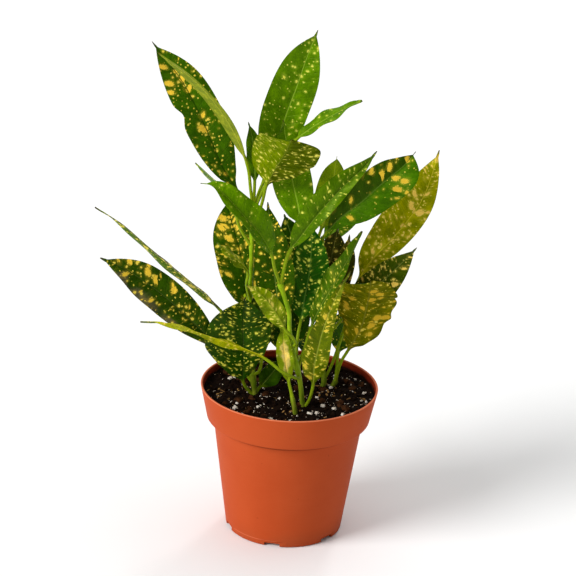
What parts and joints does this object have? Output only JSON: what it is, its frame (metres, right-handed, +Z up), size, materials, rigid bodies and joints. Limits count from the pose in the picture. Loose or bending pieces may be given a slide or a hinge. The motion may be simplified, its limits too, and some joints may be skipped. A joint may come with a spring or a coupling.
{
  "type": "potted croton",
  "caption": "Young spotted-leaf croton with several leafy shoots, growing in soil in a round plastic nursery pot with a wide rim band.",
  "frame": {"origin": "centre of the flat middle of the pot's underside, on the surface the pot stands on", "axes": "+Z up along the pot's axis, +X to the right and +Y away as seen from the plant's front"},
  "size_m": [0.2026, 0.1369, 0.3127],
  "materials": {
    "pot_plastic": "terracotta-coloured moulded plastic, satin",
    "potting_mix": "dark damp peat with perlite",
    "leaf_dark": "glossy dark green leaf with yellow spots",
    "leaf_bright": "glossy bright green leaf with yellow dots"
  },
  "bodies": {
    "root": {"pot": "pot_plastic", "soil": "potting_mix", "shoot_left": "leaf_dark", "shoot_front": "leaf_bright", "shoot_right": "leaf_dark", "sprout_front": "leaf_bright", "sprout_right": "leaf_dark"}
  },
  "joints": []
}
